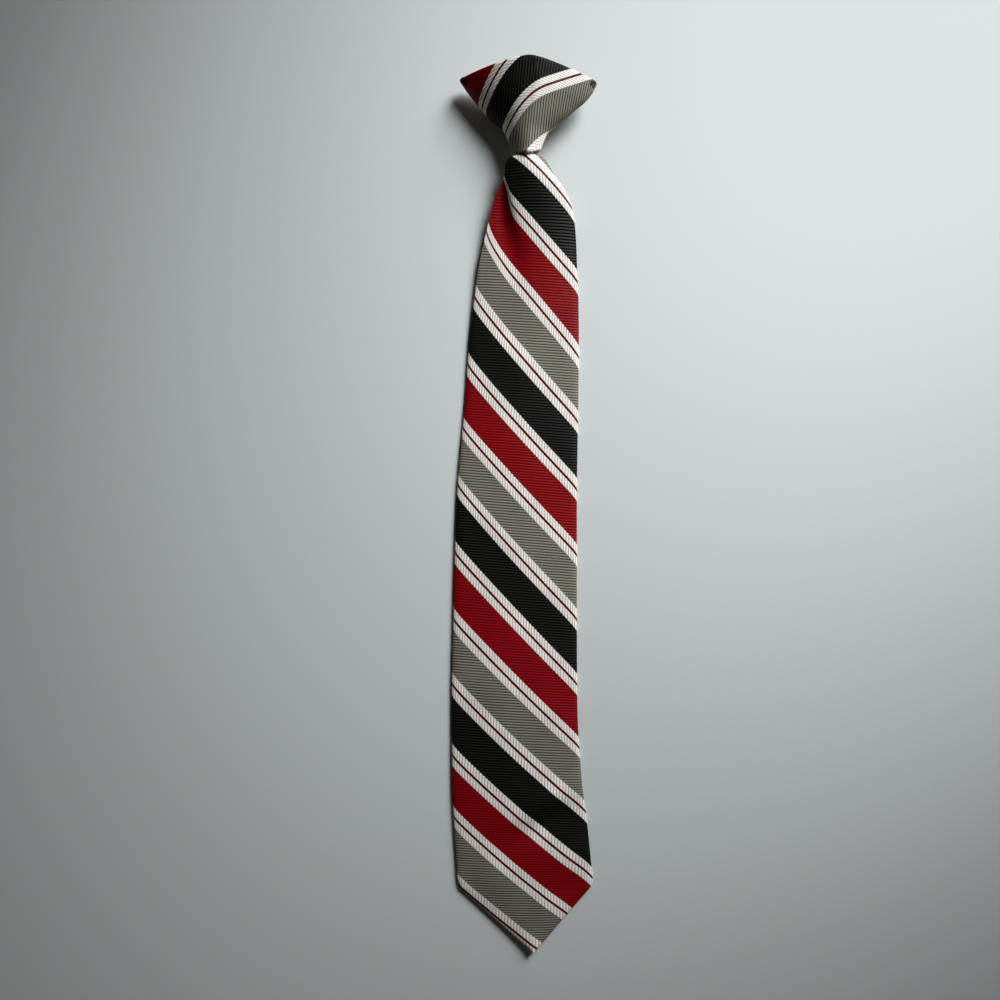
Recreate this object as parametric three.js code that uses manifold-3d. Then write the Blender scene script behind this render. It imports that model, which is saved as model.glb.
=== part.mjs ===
// A clip-on tie lying on its back: a padded cloth blade, a hollow ready-made knot and a hidden clip.
// Units are millimetres. +X runs to the right across the blade's face, +Y from the tip towards the
// knot and +Z up out of the face. The origin is the centre of the tie on the surface it lies on.
import * as THREE from "three";
import { mergeVertices } from "three/addons/utils/BufferGeometryUtils.js";
import Module from "manifold-3d";

// Driving dimensions
const knotHeight = 50.6; // from the mouth, where the blade leaves it, to the top of its rim
const knotWidth = 78.5; // from ear to ear
const knotDepth = 20; // from its back to the highest point of its crest
const knotCloth = 1.8; // wall: two layers of cloth and their stiffening
const knotFold = 4.48; // thickness at the knot's two side folds
const bladeLength = 457.4; // from the mouth of the knot to the point
const bladeWidth = 78.5; // between the two corners above the point
const bladeThickness = 4; // folded cloth and padding, in the middle of the blade
const bladeFold = 2.8; // thickness at the two long folds
const seamStep = 0.7; // one back flap lies over the other along the centre seam
const tailLength = 13; // gathered end of the blade, held inside the knot
const tipCurl = 2.2; // the point stands this far off the surface
const clipThickness = 1.6;
const clipWidth = 20;
const tongueLength = 34; // from the bend down behind the knot
const tongueEndWidth = 14;
const tongueCorner = 4.5; // corner radius at the tongue's free end
const plateTailGap = 8; // the plate inside the knot ends this far above the blade's tail
const plateCorner = 3;
const collarGap = 5.4; // room for the collar band between the tongue and the knot
const fitGap = 0.4; // clearance between the pieces
const tailSlimming = 1.2; // the tail narrows by this much on each side inside the knot

// Places that follow from them
const mouthY = (bladeLength - knotHeight) / 2;
const knotBackZ = clipThickness + collarGap;
const knotInnerZ = knotBackZ + knotCloth;

// A table is a list of rows, and each row has a value for each named column.
const table = (columns, rows) =>
  rows.map((row) => Object.fromEntries(columns.map((column, i) => [column, row[i]])));

// Sections of the knot from its mouth up to its rim. crest, leftRise and rightRise are the heights of
// the crest and of the two edges as shares of knotHeight. left and right are the edges as shares of
// knotWidth, depth is the crest as a share of knotDepth, and edge is the height of the edges as a share
// of that depth. bow shapes the front from round (1) to peaked (2), and flat squares the back.
const knotRows = table(
  ["crest", "leftRise", "rightRise", "left", "right", "depth", "edge", "bow", "flat"],
  [
    [0.0, 0.0, 0.06, -0.086, 0.126, 0.62, 0.5, 1.0, 2.4],
    [0.13, 0.13, 0.155, -0.108, 0.149, 0.66, 0.48, 1.05, 3],
    [0.27, 0.25, 0.25, -0.137, 0.181, 0.71, 0.45, 1.15, 4],
    [0.4, 0.325, 0.335, -0.167, 0.243, 0.77, 0.41, 1.3, 6],
    [0.5, 0.385, 0.4, -0.216, 0.301, 0.82, 0.38, 1.45, 6],
    [0.62, 0.48, 0.49, -0.277, 0.37, 0.88, 0.35, 1.6, 6],
    [0.75, 0.6, 0.59, -0.345, 0.448, 0.93, 0.33, 1.75, 6],
    [0.88, 0.73, 0.69, -0.41, 0.5, 0.97, 0.31, 1.9, 6],
    [1.0, 0.865, 0.785, -0.47, 0.53, 1.0, 0.3, 2.0, 6],
  ],
);
const backRimShare = 0.86; // the back of the rim is this far up where the crest is at 1
const rimPeak = 1.25; // the rim rises from its ears to its crest as a tent (1) or an arch (2)
const knotMiddleX = (knotWidth * (knotRows[0].left + knotRows[0].right)) / 2;
const mouthDepth = knotRows[0].depth * knotDepth - 2 * (knotCloth + fitGap); // of the gathered blade

// Sections of the blade from the mouth of the knot down to the corners above the point. down is a share
// of bladeLength, left and right are shares of bladeWidth. lift is how much of the mouth's height above
// the surface is left, and bunch how much of its gathered thickness. pleat is the depth of the pleat
// below the knot as a share of the thickness there, and pleatAt its place as a share of bladeWidth.
const bladeRows = table(
  ["down", "left", "right", "lift", "bunch", "pleat", "pleatAt"],
  [
    [0.0033, -0.095, 0.135, 1.0, 1.0, 0.0, -0.12],
    [0.0075, -0.118, 0.159, 0.98, 1.05, 0.05, -0.12],
    [0.0144, -0.129, 0.187, 0.94, 1.08, 0.15, -0.128],
    [0.0249, -0.137, 0.224, 0.88, 1.08, 0.35, -0.126],
    [0.0347, -0.158, 0.269, 0.8, 1.0, 0.5, -0.122],
    [0.0465, -0.198, 0.31, 0.7, 0.9, 0.55, -0.118],
    [0.0584, -0.221, 0.344, 0.6, 0.78, 0.5, -0.11],
    [0.0766, -0.252, 0.37, 0.48, 0.62, 0.42, -0.095],
    [0.1015, -0.286, 0.386, 0.36, 0.44, 0.34, -0.075],
    [0.1325, -0.327, 0.394, 0.25, 0.26, 0.22, -0.055],
    [0.1763, -0.364, 0.406, 0.14, 0.12, 0.1, -0.04],
    [0.2394, -0.405, 0.41, 0.04, 0.03, 0.0, -0.03],
    [0.3027, -0.431, 0.407, 0.0, 0.0, 0.0, -0.03],
    [0.4293, -0.494, 0.396, 0.0, 0.0, 0.0, -0.03],
    [0.5813, -0.519, 0.396, 0.0, 0.0, 0.0, -0.03],
    [0.6826, -0.53, 0.399, 0.0, 0.0, 0.0, -0.03],
    [0.7839, -0.528, 0.432, 0.0, 0.0, 0.0, -0.03],
    [0.8345, -0.516, 0.469, 0.0, 0.0, 0.0, -0.03],
    [0.8852, -0.497, 0.499, 0.0, 0.0, 0.0, -0.03],
    [0.9105, -0.486, 0.512, 0.0, 0.0, 0.0, -0.03],
  ],
);
const cornerDown = 0.9195; // the sides turn in to the point here
const cornerInset = 0.012; // share of bladeWidth lost in rounding each corner
const pointAt = 0.071; // the point lies right of the middle, as a share of bladeWidth
const pointHalfWidth = 1.4;
const pleatWidth = 0.055; // half width of the pleat, as a share of bladeWidth
const flankDrop = 0.45; // the cloth left of the pleat lies lower by this share of the pleat
const pleatReach = 0.6; // the pleat may cut this far into the height of the gathered edges
const flatCrown = 0.35; // power of the blade's front arch: lower is squarer
const roundCrown = 0.5; // the same where the blade is gathered
const seamSquare = 8; // the lapped flap keeps its thickness to its fold: higher is squarer
const pointThinning = 0.15; // share of the folds' thickness lost at the point
const maxRadius = 0.45; // a fold's radius is at most this share of its section's width

// Fineness of the surfaces
const stepsBetweenRows = 2;
const frontSteps = 24;
const foldSteps = 4;
const backSteps = 12;
const pointSteps = 4;
const bendSteps = 12;

const finish = (color, roughness) => new THREE.MeshStandardMaterial({ color, roughness, metalness: 0 });
const clothFinish = () => finish(0x15130f, 0.85);
const plasticFinish = () => finish(0x1c1c1e, 0.45);

// Each pair of neighbouring rows gains even steps between them, on a smooth cubic through the rows.
function refine(rows, key) {
  const fine = [];
  const last = rows.length - 1;
  const slope = (i, column) => {
    if (i === 0 || i === last) return 0;
    const [a, b, c] = [rows[i - 1], rows[i], rows[i + 1]];
    const before = (b[column] - a[column]) / (b[key] - a[key]);
    const after = (c[column] - b[column]) / (c[key] - b[key]);
    return before * after > 0 ? (2 * before * after) / (before + after) : 0;
  };
  for (let i = 0; i < last; i++) {
    const span = rows[i + 1][key] - rows[i][key];
    for (let j = 0; j < stepsBetweenRows; j++) {
      const t = j / stepsBetweenRows;
      const row = {};
      for (const column of Object.keys(rows[i])) {
        const leaving = t * (1 - t) ** 2 * slope(i, column);
        const arriving = t ** 2 * (1 - t) * slope(i + 1, column);
        const blend = t ** 2 * (3 - 2 * t);
        const straight = THREE.MathUtils.lerp(rows[i][column], rows[i + 1][column], blend);
        row[column] = straight + (leaving - arriving) * span;
      }
      row[key] = rows[i][key] + t * span;
      fine.push(row);
    }
  }
  fine.push(rows[last]);
  return fine;
}

// One closed section of folded cloth: a front arch, a rounded fold on the right, the back, and a
// rounded fold on the left. across runs from -1 to 1, and shapes give y and the height at it.
function section({ left, right, fold, edgeZ, frontZ, backZ, frontY, backY }) {
  const points = [];
  const radius = Math.min(fold / 2, maxRadius * (right - left));
  const middle = (left + right) / 2;
  const half = (right - left) / 2 - radius;
  for (let i = 0; i <= frontSteps; i++) {
    const across = -Math.cos((Math.PI * i) / frontSteps);
    points.push([middle + half * across, frontY(across), edgeZ + radius + frontZ(across)]);
  }
  for (let i = 1; i < foldSteps; i++) {
    const turn = (Math.PI * i) / foldSteps;
    points.push([right - radius + radius * Math.sin(turn), backY(1), edgeZ + radius * Math.cos(turn)]);
  }
  for (let i = 0; i <= backSteps; i++) {
    const across = Math.cos((Math.PI * i) / backSteps);
    points.push([middle + half * across, backY(across), edgeZ - radius - backZ(across)]);
  }
  for (let i = 1; i < foldSteps; i++) {
    const turn = (Math.PI * i) / foldSteps;
    points.push([left + radius - radius * Math.sin(turn), backY(-1), edgeZ - radius * Math.cos(turn)]);
  }
  return points;
}

// 1 in the middle and 0 at both edges, squarer with a higher power.
const round = (across, power) => Math.max(0, 1 - Math.abs(across) ** power);

// Triangles between neighbouring sections that hold as many points each. They face outwards where the
// sections follow each other along +Y, and flip turns them round.
function skin(sections, first, flip) {
  const faces = [];
  const count = sections[0].length;
  for (let i = 0; i + 1 < sections.length; i++) {
    for (let j = 0; j < count; j++) {
      const a = first + i * count + j;
      const b = first + i * count + ((j + 1) % count);
      const quad = [a, b, a + count, b, b + count, a + count];
      faces.push(...(flip ? quad.reverse() : quad));
    }
  }
  return faces;
}

function geometryFrom(points, faces) {
  const geometry = new THREE.BufferGeometry();
  geometry.setAttribute("position", new THREE.Float32BufferAttribute(points.flat(), 3));
  geometry.setIndex(faces);
  geometry.computeVertexNormals();
  return geometry;
}

// A section of the knot; inset moves every face inwards, which gives the hollow its own section.
function knotSection(row, inset) {
  const left = row.left * knotWidth + inset;
  const right = row.right * knotWidth - inset;
  const fold = knotFold - 2 * inset;
  const depth = row.depth * knotDepth;
  const edgeZ = knotBackZ + row.edge * depth;
  const archHeight = knotBackZ + depth - inset - edgeZ - fold / 2;
  const backDrop = edgeZ - fold / 2 - knotBackZ - inset;
  const edgesY = (across) => THREE.MathUtils.lerp(row.leftRise, row.rightRise, (across + 1) / 2);
  const rise = (across, top) =>
    mouthY + knotHeight * THREE.MathUtils.lerp(edgesY(across), top, round(across, rimPeak));
  return section({
    left,
    right,
    fold,
    edgeZ,
    frontZ: (across) => archHeight * round(across, 2) ** (row.bow / 2),
    backZ: (across) => backDrop * Math.sqrt(round(across, row.flat)),
    frontY: (across) => rise(across, row.crest),
    backY: (across) => rise(across, row.crest * backRimShare),
  });
}

// The knot is a wall between an outer and an inner surface, open at its mouth and at its rim.
function makeKnot() {
  const rows = refine(knotRows, "crest");
  const outer = rows.map((row) => knotSection(row, 0));
  const inner = rows.map((row) => knotSection(row, knotCloth));
  const count = outer[0].length;
  const innerFirst = outer.length * count;
  const faces = [...skin(outer, 0, false), ...skin(inner, innerFirst, true)];
  for (const [ring, flip] of [[0, true], [outer.length - 1, false]]) {
    for (let j = 0; j < count; j++) {
      const next = (j + 1) % count;
      const [a, b] = [ring * count + j, ring * count + next];
      const [c, d] = [innerFirst + a, innerFirst + b];
      const quad = [a, b, c, b, d, c];
      faces.push(...(flip ? quad.reverse() : quad));
    }
  }
  return geometryFrom([...outer.flat(), ...inner.flat()], faces);
}

// The gathered end fills the knot's mouth but for the fit gap, which is doubled at its round sides, and
// the tail inside is a little slimmer. Just below the mouth the cloth swells past the knot's edge.
function mouthRow(down, slimmer) {
  const mouth = knotRows[0];
  const inset = (knotCloth + 2 * fitGap + slimmer) / bladeWidth;
  const share = knotWidth / bladeWidth;
  return {
    ...bladeRows[0],
    down,
    left: mouth.left * share + inset,
    right: mouth.right * share - inset,
    bunch: 1 - slimmer / mouthDepth,
  };
}

function bladeSection(row) {
  const thickness = THREE.MathUtils.lerp(bladeThickness, mouthDepth, row.bunch);
  const lastSide = bladeRows.at(-1).down;
  const corner = THREE.MathUtils.clamp((row.down - lastSide) / (1 - lastSide), 0, 1);
  const crown = thickness - bladeFold * (1 - pointThinning * corner);
  const back = row.lift * (knotInnerZ + fitGap) + tipCurl * corner ** 2;
  const gathered = THREE.MathUtils.clamp(row.bunch, 0, 1);
  const edgeRise = gathered * Math.max(0, (thickness - bladeFold) / 2);
  const edgeZ = back + bladeFold / 2 + edgeRise;
  const y = mouthY - row.down * bladeLength;
  const left = row.left * bladeWidth;
  const right = row.right * bladeWidth;
  const pleat = (across) => {
    const x = (left + right) / 2 + ((right - left) / 2) * across;
    const offset = (x - row.pleatAt * bladeWidth) / (pleatWidth * bladeWidth);
    const flank = flankDrop * (offset < 0 ? 1 - Math.exp(-(offset ** 2)) : 0);
    return row.pleat * (Math.exp(-(offset ** 2)) + flank) * (thickness - bladeFold / 2);
  };
  const archPower = THREE.MathUtils.lerp(flatCrown, roundCrown, gathered);
  const arch = (across) => (crown - edgeRise) * round(across, 2) ** archPower;
  const seam = (across) => (across < 0 ? seamStep : 0) * (1 - gathered) * round(across, seamSquare);
  return section({
    left,
    right,
    fold: bladeFold,
    edgeZ,
    frontZ: (across) => arch(across) - Math.min(pleat(across), arch(across) + pleatReach * edgeRise),
    backZ: (across) => edgeRise * Math.sqrt(round(across, 2)) - seam(across),
    frontY: () => y,
    backY: () => y,
  });
}

function makeBlade() {
  const corner = bladeRows.at(-1);
  const toPoint = (share, width) => ({
    ...corner,
    down: THREE.MathUtils.lerp(cornerDown, 1, share),
    left: THREE.MathUtils.lerp(corner.left + cornerInset, pointAt, share) - width,
    right: THREE.MathUtils.lerp(corner.right - cornerInset, pointAt, share) + width,
  });
  const tip = Array.from({ length: pointSteps + 1 }, (_, i) => {
    const share = i / pointSteps;
    return toPoint(share, (pointHalfWidth / bladeWidth) * share);
  });
  const sections = [
    mouthRow(-tailLength / bladeLength, tailSlimming),
    mouthRow(-tailLength / bladeLength / 2, tailSlimming / 2),
    mouthRow(fitGap / bladeLength, 0),
    ...refine(bladeRows, "down"),
    ...tip,
  ].map(bladeSection);
  const count = sections[0].length;
  const points = sections.flat();
  const faces = skin(sections, 0, true);
  for (const [ring, flip] of [[0, false], [sections.length - 1, true]]) {
    const centre = new THREE.Vector3();
    for (const point of sections[ring]) centre.add(new THREE.Vector3(...point));
    points.push(centre.divideScalar(count).toArray());
    for (let j = 0; j < count; j++) {
      const spoke = [ring * count + j, ring * count + ((j + 1) % count), points.length - 1];
      faces.push(...(flip ? spoke.reverse() : spoke));
    }
  }
  return geometryFrom(points, faces);
}

const wasm = await Module();
wasm.setup();

function solidFrom(geometry) {
  const bare = geometry.clone();
  bare.deleteAttribute("normal");
  bare.deleteAttribute("uv");
  const merged = mergeVertices(bare);
  const mesh = new wasm.Mesh({
    numProp: 3,
    vertProperties: merged.attributes.position.array,
    triVerts: new Uint32Array(merged.index.array),
  });
  return new wasm.Manifold(mesh);
}

function geometryOf(solid) {
  const mesh = solid.getMesh();
  const geometry = new THREE.BufferGeometry();
  geometry.setAttribute("position", new THREE.BufferAttribute(mesh.vertProperties, 3));
  geometry.setIndex(new THREE.BufferAttribute(mesh.triVerts, 1));
  geometry.computeVertexNormals();
  return geometry;
}

// Seen from above, one leg of the clip: straight sides down to an end with rounded corners.
function legOutline(topY, endY, topWidth, endWidth, corner) {
  const [top, end] = [topWidth / 2, endWidth / 2];
  const outline = new THREE.Shape();
  outline.moveTo(knotMiddleX + top, topY);
  outline.lineTo(knotMiddleX - top, topY);
  outline.lineTo(knotMiddleX - end, endY + corner);
  outline.quadraticCurveTo(knotMiddleX - end, endY, knotMiddleX - end + corner, endY);
  outline.lineTo(knotMiddleX + end - corner, endY);
  outline.quadraticCurveTo(knotMiddleX + end, endY, knotMiddleX + end, endY + corner);
  outline.closePath();
  return outline;
}

// The clip is one strip bent in a half circle round the back of the knot's rim: the strip's side view,
// extruded across, is cut to the outline of the plate above the bend's middle and of the tongue below.
function makeClip() {
  const innerRadius = (knotInnerZ + fitGap - clipThickness) / 2;
  const outerRadius = innerRadius + clipThickness;
  const bendZ = outerRadius;
  const bendY = mouthY + backRimShare * knotHeight + fitGap;
  const plateEndY = mouthY + tailLength + plateTailGap;
  const tongueEndY = bendY - tongueLength;
  const profile = new THREE.Shape();
  profile.moveTo(tongueEndY, 0);
  profile.lineTo(bendY, 0);
  profile.absarc(bendY, bendZ, outerRadius, -Math.PI / 2, Math.PI / 2, false);
  profile.lineTo(plateEndY, bendZ + outerRadius);
  profile.lineTo(plateEndY, bendZ + innerRadius);
  profile.lineTo(bendY, bendZ + innerRadius);
  profile.absarc(bendY, bendZ, innerRadius, Math.PI / 2, -Math.PI / 2, true);
  profile.lineTo(tongueEndY, clipThickness);
  profile.closePath();
  const plain = { bevelEnabled: false, curveSegments: bendSteps };
  const strip = new THREE.ExtrudeGeometry(profile, { ...plain, depth: clipWidth });
  const across = new THREE.Matrix4().makeBasis(
    new THREE.Vector3(0, 1, 0),
    new THREE.Vector3(0, 0, 1),
    new THREE.Vector3(1, 0, 0),
  );
  strip.applyMatrix4(across).translate(knotMiddleX - clipWidth / 2, 0, 0);
  const margin = fitGap; // the cutting blocks reach past the strip by this much
  const topY = bendY + outerRadius + margin;
  const legs = [
    { endY: tongueEndY, endWidth: tongueEndWidth, corner: tongueCorner, fromZ: -margin },
    { endY: plateEndY, endWidth: clipWidth, corner: plateCorner, fromZ: bendZ },
  ].map(({ endY, endWidth, corner, fromZ }) => {
    const outline = legOutline(topY, endY, clipWidth, endWidth, corner);
    const block = new THREE.ExtrudeGeometry(outline, { ...plain, depth: bendZ + margin });
    return solidFrom(block.translate(0, 0, fromZ));
  });
  return geometryOf(solidFrom(strip).intersect(legs[0].add(legs[1])));
}

const tie = new THREE.Group();
const pieces = [
  ["blade", makeBlade(), clothFinish()],
  ["knot", makeKnot(), clothFinish()],
  ["clip", makeClip(), plasticFinish()],
];
for (const [name, geometry, material] of pieces) {
  const mesh = new THREE.Mesh(geometry, material);
  mesh.name = name;
  tie.add(mesh);
}

export default tie;
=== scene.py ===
import math
import bpy
import numpy as np
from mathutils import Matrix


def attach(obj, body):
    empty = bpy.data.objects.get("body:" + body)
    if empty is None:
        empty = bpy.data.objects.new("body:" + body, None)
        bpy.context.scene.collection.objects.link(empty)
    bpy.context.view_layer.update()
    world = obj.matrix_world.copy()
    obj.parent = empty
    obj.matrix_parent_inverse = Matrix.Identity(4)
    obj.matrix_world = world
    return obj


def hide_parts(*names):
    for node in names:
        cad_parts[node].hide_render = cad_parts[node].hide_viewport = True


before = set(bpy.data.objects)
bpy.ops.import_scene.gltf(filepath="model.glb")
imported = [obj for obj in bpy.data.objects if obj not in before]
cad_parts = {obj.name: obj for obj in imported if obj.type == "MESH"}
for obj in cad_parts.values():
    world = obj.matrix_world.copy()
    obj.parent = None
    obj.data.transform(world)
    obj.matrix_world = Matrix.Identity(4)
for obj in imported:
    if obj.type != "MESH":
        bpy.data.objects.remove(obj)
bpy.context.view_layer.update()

# The camera looks straight down on the tie, from a little left of its middle and about half a metre up.
# It takes in a square of floor.
mm = 0.001
camera_height = 560 * mm
view_width = 581.3 * mm
view_middle = (-13.55 * mm, 7.03 * mm)
sensor_width = 36

camera = bpy.data.objects.new("camera", bpy.data.cameras.new("camera"))
camera.data.sensor_width = sensor_width
camera.data.lens = sensor_width * camera_height / view_width
camera.location = (*view_middle, camera_height)
bpy.context.scene.collection.objects.link(camera)
bpy.context.scene.camera = camera

# The blade is one length of ribbed silk folded round a soft interlining. Its two long folds are rounded,
# its edges lap along the back in a centre seam, and it tapers to a pointed tip. Its gathered neck comes out
# of the knot as a round roll, with a flatter flank on the left and a pleat between the two.
blade_length = 457.4
blade_width = 78.5
blade_thickness = 4.0
blade_fold = 2.8
fold_reach = 4.5  # the front rounds off to the long folds over this width
back_fold_reach = 2.0
neck_fold_share = 0.75  # the same at the gathered neck, as a share of half its width
neck_edge_share = 0.42  # height of the neck's sides as a share of its thickness
seam_step = 0.7  # the lapped flap lies this much over the other one
tip_curl = 1.4  # the point stands this far off the surface
tip_thinning = 0.8  # mm of the thickness lost at the point
tip_fold_thinning = 0.3  # the same for half of the folds' thickness
tip_fold_reach = 1.8  # the rounding's reach at the point
corner_down = 0.9195  # the sides turn in to the point here, as a share of the blade's length
tip_begins = 0.9105  # the thinning and the curl begin here
point_at = 0.071  # place of the point across, as a share of the blade's width
point_half = 1.4  # half the width of the point
crown_power = 1.5  # the front's crown is a low arch: higher is narrower
rounding_loss = 0.1  # share of its squared height that a rounded fold has lost where its reach begins
widest_rounding = 0.85  # a rounded fold takes up at most this share of half the width
roll_lean = 1.4  # the roll leans over the pleat by this much
lean_at, lean_width = 0.9, 1.1  # place and width of the lean, in widths of the slope beside the pleat
valley_depth = 1.9
valley_at = -1.2  # place of the valley beside the pleat, in widths of that slope
deepest_cut = 0.8  # the pleat takes away at most this share of the thickness
knot_height = 50.6
knot_width = 78.5
knot_depth = 20.0
knot_cloth = 1.8
knot_back = 7.0  # the knot's back lies this high, with the clip's tongue below it
fit_gap = 0.4  # clearance between the blade's neck and the knot's wall
mouth_share = 0.62  # depth of the knot's mouth as a share of the knot's depth
mouth_depth = mouth_share * knot_depth
mouth_y = (blade_length - knot_height) / 2
neck_depth = mouth_depth - 2 * (knot_cloth + fit_gap)

# down the blade as a share of its length, left and right edge as shares of its width, the share of the
# mouth's height that is left, the share of its gathered thickness, the pleat's depth and its place
blade_rows = [
    (-0.0284, -0.038, 0.078, 1.0, 0.75, 0.0, -0.15),
    (-0.0142, -0.047, 0.087, 1.0, 0.82, 0.0, -0.15),
    (0.0009, -0.053, 0.093, 1.0, 0.84, 0.0, -0.15),
    (0.0033, -0.104, 0.135, 1.0, 0.88, 0.0, -0.15),
    (0.0075, -0.13, 0.159, 0.98, 1.02, 0.05, -0.15),
    (0.0144, -0.139, 0.187, 0.94, 1.08, 0.15, -0.154),
    (0.0249, -0.143, 0.224, 0.88, 1.08, 0.35, -0.152),
    (0.0347, -0.159, 0.269, 0.8, 1.0, 0.5, -0.136),
    (0.0465, -0.195, 0.31, 0.7, 0.9, 0.6, -0.118),
    (0.0584, -0.221, 0.344, 0.6, 0.78, 0.62, -0.108),
    (0.0766, -0.252, 0.37, 0.48, 0.62, 0.58, -0.085),
    (0.1015, -0.286, 0.386, 0.36, 0.44, 0.48, -0.04),
    (0.1325, -0.327, 0.394, 0.25, 0.26, 0.3, 0.01),
    (0.1763, -0.364, 0.406, 0.14, 0.12, 0.1, 0.02),
    (0.2394, -0.405, 0.41, 0.04, 0.03, 0.0, 0.02),
    (0.3027, -0.431, 0.407, 0.0, 0.0, 0.0, 0.02),
    (0.4293, -0.494, 0.396, 0.0, 0.0, 0.0, 0.02),
    (0.5813, -0.519, 0.396, 0.0, 0.0, 0.0, 0.02),
    (0.6826, -0.53, 0.399, 0.0, 0.0, 0.0, 0.02),
    (0.7839, -0.528, 0.432, 0.0, 0.0, 0.0, 0.02),
    (0.8345, -0.516, 0.469, 0.0, 0.0, 0.0, 0.02),
    (0.8852, -0.497, 0.499, 0.0, 0.0, 0.0, 0.02),
    (0.9105, -0.486, 0.512, 0.0, 0.0, 0.0, 0.02),
    (0.9195, -0.474, 0.5, 0.0, 0.0, 0.0, 0.02),
]

# down the blade, the widths in mm of the pleat's turn and of the slope beside it, and the share of a
# stripe's pitch that the pleat hides
pleat_rows = [
    (0.0, 0.9, 0.9, 0.65),
    (0.033, 0.8, 1.5, 0.6),
    (0.045, 0.8, 2.3, 0.5),
    (0.0575, 0.9, 3.0, 0.38),
    (0.07, 1.4, 3.8, 0.15),
    (0.08, 2.4, 4.4, 0.05),
    (0.11, 4.0, 5.5, 0.0),
    (0.18, 6.0, 7.0, 0.0),
]

# Soft waves from handling: middle x and y, the angle they run at, half length, half width and depth
wave_rows = [
    (14, -166, 32, 26, 7, 1.5),
    (17, -178, 32, 26, 7, -1.5),
    (28, -197, 40, 14, 6, 0.9),
    (27, -217, 38, 12, 6, -0.8),
    (12, -226, 38, 12, 6, 0.6),
    (-18, -210, -50, 16, 9, 0.7),
    (26, -122, -40, 18, 9, 0.6),
    (-20, -105, -50, 18, 10, 0.6),
    (4, -62, -45, 24, 10, -0.6),
    (-16, -10, -50, 22, 9, 0.5),
    (14, 38, -45, 24, 9, -0.5),
    (-8, 92, -50, 22, 9, 0.5),
]

# height up the blade in mm, the ribs' pitch there in mm, and their fall to the right
rib_rows = [
    (-254, 1.4, 0.0),
    (-200, 1.4, 0.015),
    (-150, 1.5, 0.045),
    (-110, 1.55, 0.06),
    (0, 1.56, 0.085),
    (100, 1.54, 0.06),
    (150, 1.6, 0.05),
    (175, 1.66, 0.0),
    (217, 1.5, 0.0),
]

# number of the white stripe, its height at stripe_x in mm, its fall to the right, its bow, and how it
# bends up on the left
stripe_x = -4.8
stripe_rows = [
    (-1, 242, 1.0, -0.003, 0.0),
    (0, 205.5, 0.78, -0.0047, 0.1),
    (1, 172.8, 1.12, 0.001, 0.002),
    (2, 134.1, 1.18, 0.0, 0.02),
    (3, 93.9, 1.16, 0.001, 0.003),
    (4, 52.3, 1.1, 0.0007, 0.002),
    (5, 13.7, 1.08, 0.0007, 0.001),
    (6, -23.3, 1.09, 0.0007, 0.001),
    (7, -61.9, 1.06, 0.0007, 0.0),
    (8, -99.8, 1.0, 0.001, 0.0),
    (9, -136.7, 0.94, 0.0015, 0.0),
    (10, -174.8, 0.86, 0.0015, 0.0),
    (11, -208.6, 0.83, 0.0015, 0.0),
    (12, -242.6, 0.76, 0.001, 0.0),
    (13, -275, 0.7, 0.0, 0.0),
]
bow_reach = 40  # a bow grows no further than this from stripe_x
fold_pull = 0.9  # mm of cloth that a long fold pulls in
fold_pull_reach = 2.2  # mm from the fold over which the pull fades
stripe_places = 1400  # the stripes' rows are read at this many places
stripe_rounds = 8

# The cloth has wide black, red and grey stripes, and between them white ones with a maroon line. A piece's
# cloth map gives the stripe's number, counted in white stripes, and the rib's number.
stripe_pitch = 26.4  # mm from one white stripe to the next, measured across them
rib_pitch = 1.55
hatch_pitch = 1.45  # mm between the raised threads in a white stripe
hatch_lean = 0.06  # threads lean by this much per rib
stripe_angle = math.radians(47.5)  # between the stripes and the ribs
white_half = 0.168  # half widths, as shares of the stripes' pitch
line_half = 0.026  # of the maroon line
stripe_blur = 0.006
pink_half = 0.13  # of the part that the maroon line tints
edge_steps = 0.3  # how far the stripes' edges follow each rib: 0 is straight, and 1 a full step
rib_relief = 0.16  # depth of the gaps between ribs
white_relief = 0.12  # share of that depth in a white stripe
white_edge, white_edge_width = 0.21, 0.06  # the depth changes here, as shares of the stripes' pitch
rib_fullness = 0.8  # a rib is round (1) or squarer (less)
rib_flank = (0.04, 0.36)  # a rib's colour changes here from the painted shade of its gap to its top, as shares of its pitch from a gap
# the painted highlight on a black rib lies here, as shares of its pitch from a gap
painted_highlight_band = (0.37, 0.49)
thread_flank = (0.02, 0.24)  # the same for a raised thread
yarns_per_thread = 5
yarn_patches = 1.3  # changes of a yarn's light per rib
dye_scale = 70.0  # patches of dye per metre
middle_shade, yarn_shade, dye_shade = 0.42, -0.4, -0.3  # share of black, and what yarn and dye take off it
pink_share = 0.4  # share of pink in the gaps nearest to the maroon line
white_flatness = 0.95  # share of the ribs' bump that a white stripe lacks
thread_bump, yarn_bump = 1.1, 0.5  # heights in the bump, where a rib's is 1
bump_strength = 0.5
bump_height = 0.1 * mm
# Each colour's gap is darker than its top: painted shade in the gaps between ribs, and in a white stripe
# between its raised threads.
rib_colours_and_gap_shade = {
    "black": ((0.002, 0.002, 0.002), (0.001, 0.001, 0.001)),
    "red": ((0.235, 0.002, 0.005), (0.200, 0.001, 0.003)),
    "grey": ((0.270, 0.252, 0.205), (0.045, 0.041, 0.031)),
    "white": ((0.950, 0.915, 0.850), (0.360, 0.330, 0.290)),
}  # of a rib's top, and of the gap between two ribs, where the darker colour is painted shade
painted_black_highlight = (0.042, 0.042, 0.034)  # a painted highlight along the crest of a black rib
maroon = (0.080, 0.002, 0.005)
pink = (0.750, 0.400, 0.380)


def fill(tree, socket, value):
    """Links an output to a socket, or sets a number, a string or a colour on it."""
    if isinstance(value, bpy.types.NodeSocket):
        tree.links.new(value, socket)
    elif isinstance(value, tuple) and socket.type == "RGBA":
        socket.default_value = (*value, 1)
    else:
        socket.default_value = value


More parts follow.
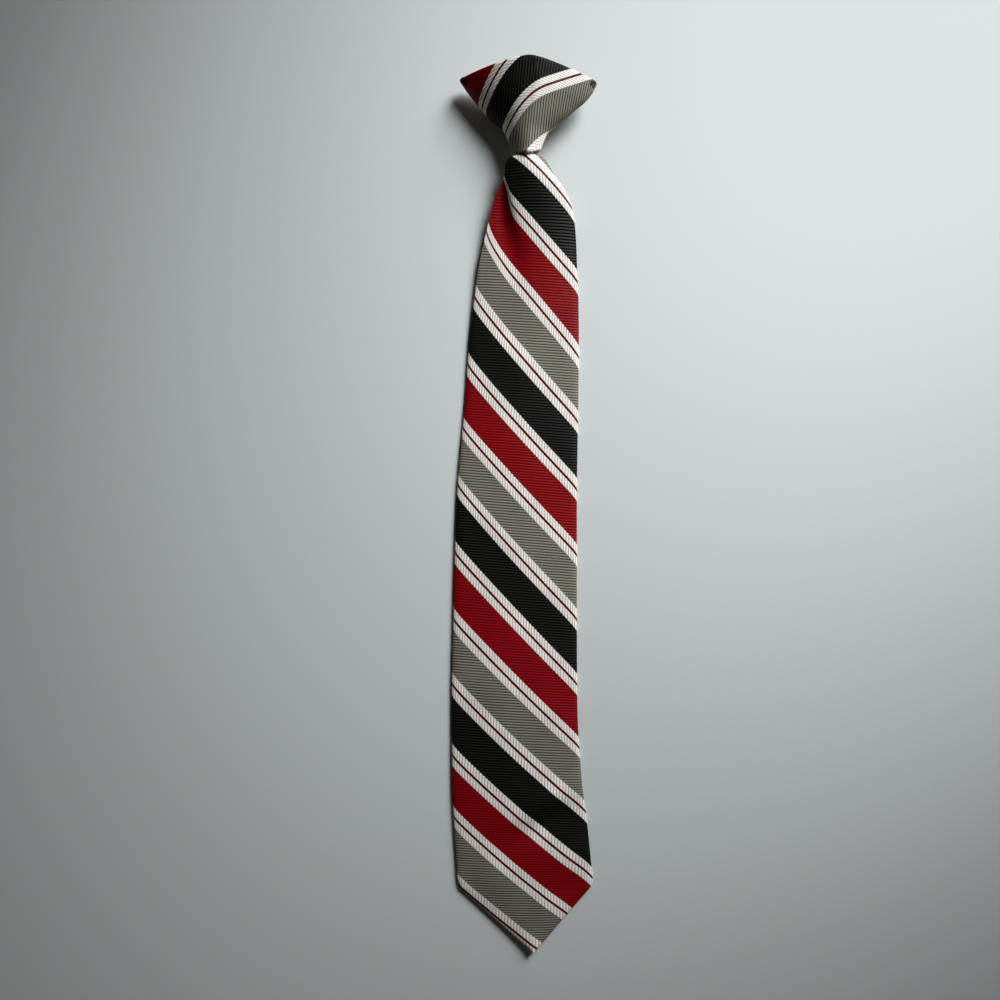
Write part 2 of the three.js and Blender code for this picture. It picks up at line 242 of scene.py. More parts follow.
def add(tree, kind, *values, output=0, **named):
    """A new node's output. Values fill its first inputs in order, and each name is a property or an input."""
    node = tree.nodes.new(kind)
    for name, value in named.items():
        if hasattr(node, name):
            setattr(node, name, value)
        else:
            fill(tree, node.inputs[name], value)
    for socket, value in zip(node.inputs, values):
        fill(tree, socket, value)
    return node.outputs[output]


def calc(tree, operation, *values):
    """A Math node's result."""
    return add(tree, "ShaderNodeMath", *values, operation=operation)


def ramp(tree, value, low, high):
    """0 below low and 1 above high, with a smooth step between them."""
    return add(tree, "ShaderNodeMapRange", value, low, high, 0.0, 1.0, interpolation_type="SMOOTHSTEP")


def within(tree, value, half):
    """1 where the value is under half, and 0 beyond it."""
    return calc(tree, "SUBTRACT", 1.0, ramp(tree, value, half - stripe_blur, half + stripe_blur))


def mix(tree, share, first, second):
    """A colour: first where share is 0 and second where it is 1."""
    node = tree.nodes.new("ShaderNodeMix")
    node.data_type = "RGBA"
    factor, _, _, _, _, _, first_colour, second_colour = node.inputs[:8]
    for socket, value in ((factor, share), (first_colour, first), (second_colour, second)):
        fill(tree, socket, value)
    return node.outputs[2]


def new_material(name, **constants):
    """A material, its nodes and its shader, with these constants on the shader's own sockets."""
    material = bpy.data.materials.new(name)
    material.use_nodes = True
    shader = material.node_tree.nodes["Principled BSDF"]
    for socket, value in constants.items():
        fill(material.node_tree, shader.inputs[socket.replace("_", " ")], value)
    return material, material.node_tree, shader


def cloth_material():
    """The stripe's number gives the colour, which goes from a light rib top to a gap darkened with painted
    shade by the rib's number. A black rib has a painted highlight along its crest. A white stripe has raised
    threads across its ribs instead, with painted shade between them, counted by the distance along a rib:
    the rib's number times pitch / tan(angle), less the stripe's number times pitch / sin(angle)."""
    material, tree, shader = new_material("repp_cloth", Roughness=0.44, Specular_IOR_Level=0.12)
    cloth = add(tree, "ShaderNodeUVMap", uv_map="cloth")
    number = add(tree, "ShaderNodeSeparateXYZ", cloth, output=0)
    rib = add(tree, "ShaderNodeSeparateXYZ", cloth, output=1)
    stripe_per_rib = rib_pitch * math.cos(stripe_angle) / stripe_pitch
    off_middle = calc(tree, "SUBTRACT", calc(tree, "FRACT", rib), 0.5)
    step = calc(tree, "MULTIPLY", off_middle, stripe_per_rib * edge_steps)
    stepped = calc(tree, "SUBTRACT", number, step)
    from_white = calc(tree, "PINGPONG", stepped, 0.5)
    is_white = within(tree, from_white, white_half)
    is_line = within(tree, calc(tree, "PINGPONG", number, 0.5), line_half)

    # top is 1 on a rib's top and 0 in its gap, where the colour holds painted shade; it also raises the bump.
    top = ramp(tree, calc(tree, "PINGPONG", rib, 0.5), *rib_flank)
    ribs_along = rib_pitch / math.tan(stripe_angle) / hatch_pitch
    stripes_along = stripe_pitch / math.sin(stripe_angle) / hatch_pitch
    rib_share = calc(tree, "MULTIPLY", rib, ribs_along + hatch_lean)
    thread = calc(tree, "SUBTRACT", rib_share, calc(tree, "MULTIPLY", number, stripes_along))
    # thread_top does the same for a white stripe's raised threads, with painted shade between them.
    thread_top = ramp(tree, calc(tree, "PINGPONG", thread, 0.5), *thread_flank)

    # The dye varies a little from place to place, and along each rib its yarns catch more or less light.
    place = add(tree, "ShaderNodeTexCoord", output="Object")
    dye = add(tree, "ShaderNodeTexNoise", place, Scale=dye_scale, Detail=2.0)
    along_yarn = calc(tree, "MULTIPLY", thread, float(yarns_per_thread))
    yarn_place = add(tree, "ShaderNodeCombineXYZ", along_yarn, calc(tree, "MULTIPLY", rib, yarn_patches))
    yarn = add(tree, "ShaderNodeTexNoise", yarn_place, noise_dimensions="2D", Scale=1.0, Detail=1.0)

    sort = calc(tree, "FRACT", calc(tree, "DIVIDE", stepped, 3.0))
    is_red = calc(tree, "GREATER_THAN", sort, 1 / 3)
    is_grey = calc(tree, "GREATER_THAN", sort, 2 / 3)
    # The gaps' colours hold painted shade.
    tops, shaded_gaps = (
        mix(tree, is_grey, mix(tree, is_red, black, red), grey)
        for black, red, grey in zip(rib_colours_and_gap_shade["black"], rib_colours_and_gap_shade["red"], rib_colours_and_gap_shade["grey"])
    )
    # A painted highlight runs along the crest of each black rib.
    crest = ramp(tree, calc(tree, "PINGPONG", rib, 0.5), *painted_highlight_band)
    is_black = calc(tree, "LESS_THAN", sort, 1 / 3)
    tops = mix(tree, calc(tree, "MULTIPLY", crest, is_black), tops, painted_black_highlight)
    # Between a white stripe's threads the gap colour is painted shade, tinted pink near the maroon line.
    white_top, white_shaded_gap = rib_colours_and_gap_shade["white"]
    near_line = calc(tree, "SUBTRACT", 1.0, ramp(tree, from_white, line_half, pink_half))
    shaded_thread_gap = mix(tree, calc(tree, "MULTIPLY", near_line, pink_share), white_shaded_gap, pink)
    colour = mix(tree, is_white, mix(tree, top, shaded_gaps, tops), mix(tree, thread_top, shaded_thread_gap, white_top))
    colour = mix(tree, is_line, colour, maroon)
    yarn_part, dye_part = calc(tree, "MULTIPLY", yarn, yarn_shade), calc(tree, "MULTIPLY", dye, dye_shade)
    shade = calc(tree, "ADD", calc(tree, "ADD", yarn_part, dye_part), middle_shade)
    colour = mix(tree, shade, colour, (0.0, 0.0, 0.0))
    tree.links.new(colour, shader.inputs["Base Color"])

    flat_share = calc(tree, "MULTIPLY", is_white, -white_flatness)
    rib_height = calc(tree, "MULTIPLY", top, calc(tree, "ADD", flat_share, 1.0))
    hatch_height = calc(tree, "MULTIPLY", thread_top, calc(tree, "MULTIPLY", is_white, thread_bump))
    height = calc(tree, "ADD", rib_height, hatch_height)
    height = calc(tree, "ADD", height, calc(tree, "MULTIPLY", yarn, yarn_bump))
    bump = add(tree, "ShaderNodeBump", Strength=bump_strength, Distance=bump_height, Height=height)
    tree.links.new(bump, shader.inputs["Normal"])
    return material


def follow(rows, at):
    """The rows' other columns at given values of the first one, on a smooth cubic. Its slope at a row is
    the harmonic mean of the slopes on both sides, or level at a turn and at the ends."""
    rows = np.array(rows, float)
    key, values = rows[:, 0], rows[:, 1:]
    span = np.diff(key)[:, None]
    slope = np.diff(values, axis=0) / span
    same = slope[:-1] * slope[1:] > 0
    harmonic = 2 * slope[:-1] * slope[1:] / np.where(same, slope[:-1] + slope[1:], 1)
    slopes = np.pad(np.where(same, harmonic, 0), ((1, 1), (0, 0)))
    place = np.clip(np.searchsorted(key, at) - 1, 0, len(key) - 2)
    t = np.clip((at - key[place]) / span[place, 0], 0, 1)[..., None]
    blend = t * t * (3 - 2 * t)
    straight = values[place] * (1 - blend) + values[place + 1] * blend
    bent = t * (1 - t) ** 2 * slopes[place] - t * t * (1 - t) * slopes[place + 1]
    return np.moveaxis(straight + bent * span[place], -1, 0)


def lerp(first, second, share):
    return first + (second - first) * share


def edge_round(across, half, reach):
    """1 in the middle and 0 at both edges: the root of 1 - |across|^n, with n such that the surface falls
    to 0.95 of its height where the reach begins."""
    reach_share = np.minimum(reach / half, widest_rounding)
    power = math.log(rounding_loss) / np.log(1 - reach_share)
    return np.sqrt(np.maximum(0, 1 - np.abs(across) ** power))


def unrolled(x, z, middle, flat):
    """Places along the flat cloth: x itself where flat is 1, and the length round the folds elsewhere,
    added up from the middle column outwards."""
    step_x, step_z = np.diff(x, axis=1), np.diff(z, axis=1)
    share = (flat[:, 1:] + flat[:, :-1]) / 2
    step = lerp(np.hypot(step_x, step_z), np.abs(step_x), share)
    length = np.pad(np.cumsum(step, axis=1), ((0, 0), (1, 0)))
    return length - length[:, [middle]] + x[:, [middle]]


def stripe_number(x, y):
    """The stripe's number at a place on the blade's flat cloth. A stripe's middle line is its height, less
    its fall times the distance right of stripe_x, plus its bow times that distance squared, plus its bend
    times the distance left of stripe_x squared. The number is found in a few rounds."""
    fine = np.linspace(stripe_rows[0][0], stripe_rows[-1][0], stripe_places)
    level = follow(stripe_rows, fine)[0]
    away = x - stripe_x
    bowed, bent = np.clip(away, -bow_reach, bow_reach) ** 2, np.clip(away, -bow_reach, 0) ** 2
    number = np.interp(-y, -level, fine)
    for _ in range(stripe_rounds):
        _, fall, bow, bend = follow(stripe_rows, number)
        number = np.interp(-(y + fall * away - bow * bowed - bend * bent), -level, fine)
    return number


def rib_gap(rib):
    """0 on top of a rib and 1 in the gap between two, which lies at each whole number."""
    return 1 - np.abs(np.sin(np.pi * rib)) ** rib_fullness


def relief_depth(stripe, rib):
    """How far the gap between two ribs lies below their tops; a white stripe has hardly any."""
    in_white = np.clip((white_edge - np.abs(stripe - np.round(stripe))) / white_edge_width, 0, 1)
    return rib_relief * lerp(1, white_relief, in_white) * rib_gap(rib)


def waves(x, y):
    """The sum of the soft waves: depth times exp(-(u / half length)^2 - (v / half width)^2), where u and v
    run along and across a wave from its middle."""
    height = 0
    for middle_x, middle_y, angle, half_length, half_width, depth in wave_rows:
        cos, sin = math.cos(math.radians(angle)), math.sin(math.radians(angle))
        u = (x - middle_x) * cos + (y - middle_y) * sin
        v = (y - middle_y) * cos - (x - middle_x) * sin
        height = height + depth * np.exp(-((u / half_length) ** 2) - (v / half_width) ** 2)
    return height


def blade_section(down, across, front):
    """x and z of the blade's surface. Its front rises from the folds to a soft crown, its back is flat.
    Left of the pleat the front drops by a tanh step, and the roll on its right leans over the drop."""
    left, right, lift, bunch, pleat, pleat_at = follow(blade_rows, down)
    tip = np.clip((down - corner_down) / (1 - corner_down), 0, 1)
    left = lerp(left * blade_width, point_at * blade_width - point_half, tip)
    right = lerp(right * blade_width, point_at * blade_width + point_half, tip)
    corner = np.clip((down - tip_begins) / (1 - tip_begins), 0, 1)
    gathered = np.clip(bunch, 0, 1)
    half = (right - left) / 2
    thickness = lerp(blade_thickness, neck_depth, bunch) - tip_thinning * corner
    edge = lerp(blade_fold / 2 - tip_fold_thinning * corner, neck_edge_share * thickness, gathered)
    middle_z = lift * (knot_back + knot_cloth + fit_gap) + tip_curl * corner**2 + edge
    reach = lerp(lerp(fold_reach, tip_fold_reach, corner), neck_fold_share * half, gathered)
    round_front = edge_round(across, half, reach)
    round_back = edge_round(across, half, lerp(back_fold_reach, neck_fold_share * half, gathered))
    x = (left + right) / 2 + half * across
    beside = (x - pleat_at * blade_width) / follow(pleat_rows, down)[1]
    drop = pleat * (thickness - blade_fold / 2) * 0.5 * (1 - np.tanh(beside))
    valley = valley_depth * pleat * np.exp(-((beside - valley_at) ** 2))
    lean = roll_lean * pleat * np.exp(-(((beside - lean_at) / lean_width) ** 2))
    crown = (thickness - 2 * edge) * (1 - across**2) ** crown_power
    cut = np.minimum(drop + valley, deepest_cut * thickness)
    front_z = middle_z + edge * round_front + crown - cut * round_front
    under = (across < 0) * (1 - gathered) * seam_step
    back_z = middle_z - (edge - under) * round_back
    wave = waves(x, mouth_y - down * blade_length) * (1 - across**4)
    return np.where(front, x - lean * round_front, x), np.where(front, front_z + wave, back_z)


def normals(points):
    """Unit normals of a grid of points whose columns close, from the differences to the neighbours."""
    down_grid = np.gradient(points, axis=0)
    along = np.roll(points, -1, axis=1) - np.roll(points, 1, axis=1)
    cross = np.cross(along, down_grid)
    return cross / np.maximum(np.linalg.norm(cross, axis=2, keepdims=True), 1e-12)


def cloth_mesh(name, points, cloth, facing, rows_close=False):
    """A closed mesh from a grid of points in mm. Its columns close, and its rows close too or end in a fan
    to the end row's middle. The cloth map has a jump between the last column and the first one."""
    rows, columns = points.shape[:2]
    above = np.arange(rows if rows_close else rows - 1)[:, None]
    below = (above + 1) % rows
    left = np.arange(columns)[None, :]
    right = (left + 1) % columns
    kept = np.minimum(left + 1, columns - 1)
    corners = [(above, left), (above, right), (below, right), (below, left)]
    map_corners = [(above, left), (above, kept), (below, kept), (below, left)]
    if facing < 0:
        corners, map_corners = corners[::-1], map_corners[::-1]
    quads = np.stack([i * columns + j + 0 * left for i, j in corners], -1).reshape(-1, 4)
    places = np.stack([cloth[i + 0 * left, j + 0 * above] for i, j in map_corners], 2).reshape(-1, 2)
    vertices = points.reshape(-1, 3)
    faces = quads.tolist()
    if not rows_close:
        for row, turn in ((0, -facing), (rows - 1, facing)):
            ring = row * columns + np.stack([left[0], right[0]], -1)
            hub = np.full((columns, 1), len(vertices))
            faces += np.hstack([ring if turn > 0 else ring[:, ::-1], hub]).tolist()
            vertices = np.vstack([vertices, points[row].mean(0)])
            places = np.vstack([places, np.repeat(cloth[row], 3, axis=0)])
    mesh = bpy.data.meshes.new(name)
    mesh.from_pydata((vertices * mm).tolist(), [], faces)
    mesh.polygons.foreach_set("use_smooth", np.ones(len(faces), bool))
    mesh.uv_layers.new(name="cloth").uv.foreach_set("vector", places.astype(np.float32).ravel())
    piece = bpy.data.objects.new(name, mesh)
    bpy.context.scene.collection.objects.link(piece)
    return piece


# A row of the grid follows every rib's top, gap and flanks.
rows_per_rib = 4
rib_places = 4000  # the ribs are counted over this many places
row_rounds = 3
flat_margin = 0.14  # the cloth lies flat up to this far from a fold, as a share of half the width
mouth_fade = 3  # the relief ends over this distance inside the knot's mouth
tail_top = mouth_y - blade_rows[0][0] * blade_length
tip_y = mouth_y - blade_length
fine_y = np.linspace(tail_top, tip_y, rib_places)
fine_ribs = np.cumsum(np.abs(np.gradient(fine_y)) / follow(rib_rows, fine_y)[0])
fine_ribs -= fine_ribs[0]
blade_ribs = np.arange(0, rows_per_rib * fine_ribs[-1]) / rows_per_rib
blade_ribs = np.append(blade_ribs, fine_ribs[-1])[:, None]
row_y = np.interp(blade_ribs, fine_ribs, fine_y)
row_down = (mouth_y - row_y) / blade_length
rib_fall = follow(rib_rows, row_y)[1]

# Columns crowd where the pleat is.
front_columns, back_columns = 64, 8
most_crowding = 0.85  # share of their even spacing that the columns lose at the pleat
crowding_pleat = 0.3  # they crowd fully where the pleat is at least this deep
crowd_width = 0.35  # radians round the front
crowd_limit = 0.98  # the crowd stays this near the middle
front_angle = np.linspace(-np.pi / 2, np.pi / 2, front_columns)
back_angle = np.pi / 2 * np.arange(back_columns) / back_columns
front_part = np.r_[np.zeros(back_columns), np.ones(front_columns), np.zeros(back_columns)][None, :] > 0
blade_middle = back_columns + front_columns // 2
row_left, row_right, _, _, row_pleat, row_pleat_at = follow(blade_rows, row_down)
pleat_across = (2 * row_pleat_at - row_left - row_right) / (row_right - row_left)
pleat_angle = np.arcsin(np.clip(pleat_across, -crowd_limit, crowd_limit))
crowding = most_crowding * np.clip(row_pleat / crowding_pleat, 0, 1)
crowded = front_angle - crowding * crowd_width * np.tanh((front_angle - pleat_angle) / crowd_width)
crowded = (crowded - crowded[:, [0]]) / (crowded[:, [-1]] - crowded[:, [0]]) * np.pi - np.pi / 2
back_across = np.broadcast_to(np.sin(back_angle), (len(row_y), back_columns))
across = np.hstack([-back_across, np.sin(crowded), back_across[:, ::-1]])
front_part = np.broadcast_to(front_part, across.shape)

blade_y = row_y + 0 * across
for _ in range(row_rounds):
    blade_x, blade_z = blade_section((mouth_y - blade_y) / blade_length, across, front_part)
    blade_y = np.maximum(row_y - rib_fall * (blade_x - stripe_x), tip_y)

flat = front_part * np.clip((1 - np.abs(across)) / flat_margin, 0, 1)
cloth_x = unrolled(blade_x, blade_z, blade_middle, flat)
half_width = (row_right - row_left) / 2 * blade_width
from_fold = half_width * (1 - np.abs(across))
pull = np.sign(across) * fold_pull * np.where(front_part, np.exp(-from_fold / fold_pull_reach), 1)
cloth_y = row_y - rib_fall * (cloth_x - stripe_x)
pleat_width, _, pleat_hides = follow(pleat_rows, row_down)
left_of_pleat = 0.5 * (1 - np.tanh((blade_x - row_pleat_at * blade_width) / pleat_width))
blade_stripe = stripe_number(cloth_x + pull, cloth_y) + pleat_hides * left_of_pleat
blade_points = np.stack([blade_x, blade_y, blade_z], -1)
outside_knot = np.clip((mouth_y + mouth_fade - blade_y) / mouth_fade, 0, 1)
relief = relief_depth(blade_stripe, blade_ribs) * outside_knot
blade_points = blade_points + normals(blade_points) * relief[..., None]
blade = cloth_mesh("blade_cloth", blade_points, np.stack([blade_stripe, blade_ribs + 0 * across], -1), -1)
repp_cloth = cloth_material()
blade.data.materials.append(repp_cloth)
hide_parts("blade")
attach(blade, "root")

# The knot is a ready-made wrap of the same cloth, stiffened, which flares from a narrow mouth round the
# blade's neck to two pointed ears. It is hollow and open at the top, and its cloth meets along its back.
knot_fold = 4.48
knot_fold_reach = 4.5
widest_knot_fold = 0.7  # a fold's rounding takes up at most this share of half the width
back_rim_share = 0.86
ridge_across = 0.1  # the front's ridge is right of the middle
ridge_round = 0.05  # the ridge is rounded over this share of a flank
left_flank, right_flank = 2.1, 1.15  # a flank is straight (1) or an arch (2)
rim_peak = 1.25  # the rim rises from its ears to its crest as a tent (1) or an arch (2)

# up the crest, then the rise of the left and right edges, as shares of the knot's height; the edges as
# shares of its width; its depth, the height of its edges in that depth, how far its left side falls below
# that in mm, and the back's flatness
knot_rows = [
    (0.0, 0.0, 0.06, -0.086, 0.126, 0.62, 0.5, 2.5, 2.4),
    (0.13, 0.13, 0.155, -0.108, 0.149, 0.66, 0.48, 3.0, 3),
    (0.27, 0.25, 0.25, -0.137, 0.181, 0.71, 0.45, 3.5, 4),
    (0.4, 0.325, 0.335, -0.167, 0.243, 0.77, 0.41, 4.0, 6),
    (0.5, 0.385, 0.4, -0.216, 0.301, 0.82, 0.38, 4.5, 6),
    (0.62, 0.48, 0.49, -0.277, 0.37, 0.88, 0.35, 5.0, 6),
    (0.75, 0.6, 0.59, -0.345, 0.448, 0.93, 0.33, 5.0, 6),
    (0.88, 0.73, 0.69, -0.41, 0.5, 0.97, 0.31, 5.0, 6),
    (1.0, 0.865, 0.785, -0.47, 0.53, 1.0, 0.3, 5.0, 6),
]

# The stripes cross the knot straight from its right ear, and bend down to the left of a middle point.
knot_stripe_middle = (13.3, 238.5)
knot_stripe_turn = math.radians(23)  # the stripes rise to the right by this angle
knot_stripe_pitch = 24.4
knot_stripe_bow = 0.0121
first_knot_stripe = -0.96  # the mouth's right corner is white to its end
last_knot_stripe = 1.8  # the left ear is red to its end

# place across the knot in mm, the ribs counted from the left there, and their lean to the right
knot_rib_rows = [
    (-90, -31, 0.06),
    (-45, 0, 0.06),
    (-20, 17, 0.08),
    (0, 30.1, 0.09),
    (15, 40, 0.13),
    (30, 51.1, 0.2),
    (45, 63.6, 0.24),
    (90, 95, 0.24),
]
knot_rib_y = 228  # height at which the ribs are counted


def knot_stripe_number(x, y):
    """(n + bow t^2) / pitch, where n runs across the stripes and t leftwards along them."""
    away_x, away_y = x - knot_stripe_middle[0], y - knot_stripe_middle[1]
    cos, sin = math.cos(knot_stripe_turn), math.sin(knot_stripe_turn)
    leftwards = np.maximum(0, -away_x * cos - away_y * sin)
    number = (away_y * cos - away_x * sin + knot_stripe_bow * leftwards**2) / knot_stripe_pitch
    return np.clip(number, first_knot_stripe, last_knot_stripe)


def knot_surface(up, inset, across, front):
    """Points of the knot's wall at a depth inset below its outer face. Front and back meet at rounded
    folds, the front arches up to the crest, and the rim is a tent between the ears."""
    left_rise, right_rise, left, right, depth, edge, left_fall, flatness = follow(knot_rows, up)
    left = left * knot_width + inset
    right = right * knot_width - inset
    half = (right - left) / 2
    depth = depth * knot_depth
    edge_z = level_edge = knot_back + edge * depth
    fold = knot_fold / 2
    body = edge_round(across, half, np.minimum(knot_fold_reach, widest_knot_fold * half))
    on_left = across < ridge_across
    down_flank = np.abs(across - ridge_across) / np.where(on_left, 1 + ridge_across, 1 - ridge_across)
    down_flank = np.minimum(np.hypot(down_flank, ridge_round * (1 - down_flank)), 1)
    flank = np.where(on_left, left_flank, right_flank)
    arch = (knot_back + depth - edge_z - fold) * (1 - down_flank**flank)
    edge_z = edge_z - np.where(on_left, left_fall * down_flank**left_flank, 0)
    drop = (level_edge - fold - knot_back) * np.sqrt(np.maximum(0, 1 - np.abs(across) ** flatness))
    z = edge_z + np.where(front, (fold - inset) * body + arch, -(fold - inset) * body - drop)
    top = np.where(front, up, up * back_rim_share)
    tent = 1 - np.abs(across) ** rim_peak
    rise = lerp(lerp(left_rise, right_rise, (across + 1) / 2), top, tent)
    return np.stack([(left + right) / 2 + half * across, mouth_y + knot_height * rise, z], -1)


# The wall's rim and mouth are rounded, so its rows go up the outside, over the rim and down the inside.
rim_up = 1 - knot_cloth / 2 / knot_height
outer_rows, inner_rows, turn_rows = 120, 20, 5
knot_front, knot_half_back = 420, 50
column_evenness = 0.5  # the columns crowd at the folds (0) or are evenly spaced (1)
knot_flat_margin = 0.06  # as the blade's flat_margin
turn = np.pi * np.arange(1, turn_rows) / turn_rows
turned_inset = knot_cloth / 2 * (1 - np.cos(turn))
level = 0 * turn
knot_up = np.r_[np.linspace(0, rim_up, outer_rows), level + rim_up, np.linspace(rim_up, 0, inner_rows), level]
knot_inset = np.r_[np.zeros(outer_rows), turned_inset, np.full(inner_rows, knot_cloth), turned_inset[::-1]]
knot_out = np.r_[np.zeros(outer_rows), np.sin(turn), np.zeros(inner_rows), -np.sin(turn)] * knot_cloth / 2
angle = np.linspace(-np.pi / 2, np.pi / 2, knot_front)
half_angle = np.pi / 2 * np.arange(knot_half_back) / knot_half_back
knot_across = lerp(np.sin(angle), angle / (np.pi / 2), column_evenness)
knot_back_across = lerp(np.sin(half_angle), half_angle / (np.pi / 2), column_evenness)
knot_across = np.r_[-knot_back_across, knot_across, knot_back_across[::-1]][None, :]
knot_is_front = np.r_[np.zeros(knot_half_back), np.ones(knot_front), np.zeros(knot_half_back)][None, :] > 0
knot_points = knot_surface(knot_up[:, None], knot_inset[:, None], knot_across, knot_is_front)
knot_points[..., 1] += knot_out[:, None]

knot_flat = knot_is_front * np.clip((1 - np.abs(knot_across)) / knot_flat_margin, 0, 1)
knot_flat = knot_flat + 0 * knot_up[:, None]
knot_x = unrolled(knot_points[..., 0], knot_points[..., 2], knot_half_back + knot_front // 2, knot_flat)
knot_y = knot_points[..., 1]
knot_stripe = knot_stripe_number(knot_x, knot_y)
lean = follow(knot_rib_rows, knot_x)[1]
knot_rib = -follow(knot_rib_rows, knot_x - lean * (knot_y - knot_rib_y))[0]
outside = np.clip(1 - knot_inset / (knot_cloth / 2), 0, 1)[:, None]
relief = relief_depth(knot_stripe, knot_rib) * outside
knot_points = knot_points - normals(knot_points) * relief[..., None]
knot = cloth_mesh("knot_cloth", knot_points, np.stack([knot_stripe, knot_rib], -1), 1, rows_close=True)
knot.data.materials.append(repp_cloth)
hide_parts("knot")
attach(knot, "root")

# Dark thread is whipped over the raw rim of the knot at the ends of its two ears, where the wrap is sewn
# shut. It is one strand on each side, which winds round the rim and dips into the cloth.
stitch_radius = 0.32
stitch_reach = 1.1  # the strand runs at this distance from the middle of the wall
stitch_depth = 3.8  # a stitch reaches this far down from the rim
stitch_pitch = 0.95  # along the rim
thread_dark, thread_light = (0.002, 0.002, 0.002), (0.014, 0.010, 0.005)
stitched_parts = {"left": (-0.99, -0.945), "right": (0.99, 0.92)}  # from the ear's end, across the rim
points_per_turn, stitch_sides = 32, 8
rim_places = 400  # the rim's length is measured over this many places
twist_scale = 1100.0  # turns of the thread's yarns per metre
twist_edge = (0.45, 0.7)


def unit(vectors):
    return vectors / np.linalg.norm(vectors, axis=-1, keepdims=True)


def wound_strand(start, end):
    """Points on a tube. Its middle line winds over the rim: with the turn's angle it goes from one side of
    the wall to the other by stitch_reach times cos, and up and down along the wall by stitch_depth times
    half of sin. The tube's ring lies across that line."""
    share = np.linspace(0, 1, rim_places)
    rim = knot_surface(rim_up, knot_cloth / 2, lerp(start, end, share), True)
    length = np.r_[0, np.cumsum(np.linalg.norm(np.diff(rim, axis=0), axis=1))]
    turns = round(length[-1] / stitch_pitch)
    steps = turns * points_per_turn + 1
    at = lerp(start, end, np.interp(np.linspace(0, length[-1], steps), length, share))
    rim = knot_surface(rim_up, knot_cloth / 2, at, True)
    forward = unit(np.gradient(rim, axis=0))
    outward = unit(np.array([0, 1, 0]) - forward * forward[:, [1]])
    sideways = np.cross(forward, outward)
    winding = 2 * np.pi * turns * np.linspace(0, 1, steps)
    down = lerp(stitch_depth, -stitch_reach, 0.5 + 0.5 * np.sin(winding))
    wall = knot_surface(rim_up - np.maximum(down, 0) / knot_height, knot_cloth / 2, at, True)
    line = wall + np.maximum(-down, 0)[:, None] * outward + stitch_reach * np.cos(winding)[:, None] * sideways
    forward = unit(np.gradient(line, axis=0))
    away = unit(sideways - forward * (sideways * forward).sum(1, keepdims=True))
    beside = np.cross(forward, away)
    ring = 2 * np.pi * np.arange(stitch_sides) / stitch_sides
    around = away[:, None] * np.cos(ring)[:, None] + beside[:, None] * np.sin(ring)[:, None]
    return line[:, None] + stitch_radius * around


hem_thread, tree, shader = new_material("hem_thread", Roughness=0.7, Specular_IOR_Level=0.1)
thread_place = add(tree, "ShaderNodeTexCoord", output="Object")
twist = add(tree, "ShaderNodeTexNoise", thread_place, Scale=twist_scale, Detail=2.0)
thread_colour = mix(tree, ramp(tree, twist, *twist_edge), thread_dark, thread_light)
twist_bump = add(tree, "ShaderNodeBump", Strength=bump_strength, Distance=bump_height, Height=twist)
tree.links.new(thread_colour, shader.inputs["Base Color"])
tree.links.new(twist_bump, shader.inputs["Normal"])
for side, (start, end) in stitched_parts.items():
    strand = wound_strand(start, end)
    stitches = cloth_mesh(side + "_ear_stitches", strand, strand[..., :2], 1)
    stitches.data.materials.append(hem_thread)
    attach(stitches, "root")

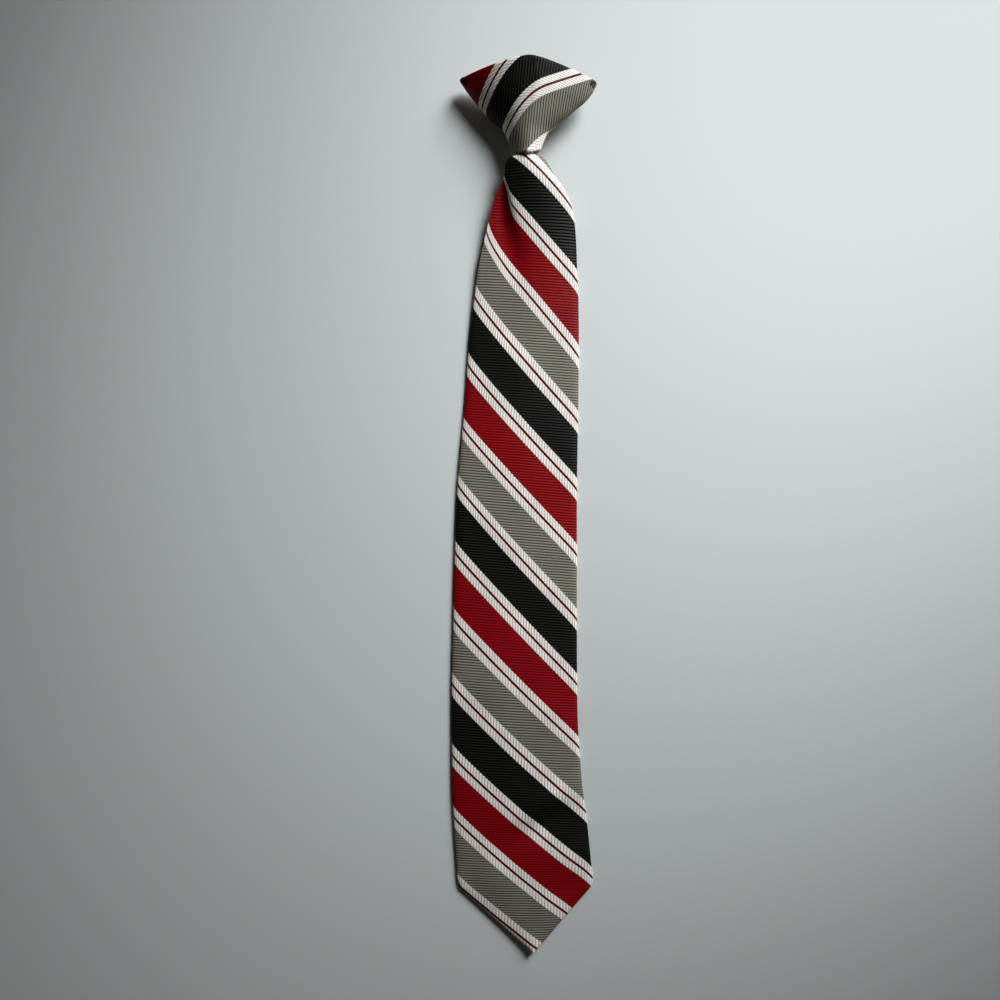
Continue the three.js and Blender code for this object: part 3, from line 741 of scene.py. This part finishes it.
# The clip is one bent strip of dark moulded plastic. Its plate is fixed inside the knot and its tongue
# hangs behind, to hold on to a buttoned collar.
plastic_dark, plastic_light = (0.012, 0.012, 0.013), (0.022, 0.022, 0.024)
plastic_roughness = (0.36, 0.5)  # from one end of the grain's range to the other
grain_range = (0.3, 0.7)
grain_scale = 900.0  # specks per metre
grain_height = 0.05 * mm
clip_plastic, tree, shader = new_material("clip_plastic", Specular_IOR_Level=0.5)
grain_place = add(tree, "ShaderNodeTexCoord", output="Object")
grain = add(tree, "ShaderNodeTexNoise", grain_place, Scale=grain_scale)
grain_bump = add(tree, "ShaderNodeBump", Strength=0.3, Distance=grain_height, Height=grain)
roughness = add(tree, "ShaderNodeMapRange", grain, *grain_range, *plastic_roughness)
tree.links.new(mix(tree, grain, plastic_dark, plastic_light), shader.inputs["Base Color"])
tree.links.new(roughness, shader.inputs["Roughness"])
tree.links.new(grain_bump, shader.inputs["Normal"])
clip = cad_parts["clip"]
clip.data.materials.clear()
clip.data.materials.append(clip_plastic)

# The floor is plain and pale.
floor_colour = (0.60, 0.635, 0.63)
floor_half = 2.0
floor_mesh = bpy.data.meshes.new("floor")
floor_corners = [(-1, -1), (1, -1), (1, 1), (-1, 1)]
floor_mesh.from_pydata([(x * floor_half, y * floor_half, 0) for x, y in floor_corners], [], [(0, 1, 2, 3)])
floor = bpy.data.objects.new("floor", floor_mesh)
bpy.context.scene.collection.objects.link(floor)
floor_mesh.materials.append(new_material("floor_paint", Base_Color=floor_colour, Roughness=0.9)[0])

# One soft lamp, three quarters of a metre across, stands low to the upper right, beyond the knot. A grid
# before it narrows its beam, so it lights the floor less towards the edges. The room adds a little warm
# light.
lamp_size = 0.74
lamp_spread = math.radians(47)
lamp_place = (0.55, 0.73, 0.39)
lamp_aim = (0.21, 0.27, 0)
lamp_power = 2.84
lamp_colour = (0.97, 0.99, 1.0)
room_colour = (1.0, 0.95, 0.85)
room_strength = 0.025
lamp = bpy.data.objects.new("lamp", bpy.data.lights.new("lamp", "AREA"))
lamp.data.shape = "DISK"
lamp.data.size = lamp_size
lamp.data.spread = lamp_spread
lamp.data.energy = lamp_power
lamp.data.color = lamp_colour
lamp.location = lamp_place
lamp.rotation_mode = "QUATERNION"
lamp.rotation_quaternion = (lamp.location - type(lamp.location)(lamp_aim)).to_track_quat("Z", "Y")
lamp.visible_camera = False
bpy.context.scene.collection.objects.link(lamp)
room = bpy.data.worlds.new("room")
room.use_nodes = True
background = room.node_tree.nodes["Background"]
background.inputs["Color"].default_value = (*room_colour, 1)
background.inputs["Strength"].default_value = room_strength
bpy.context.scene.world = room
bpy.context.scene.view_settings.view_transform = "Standard"
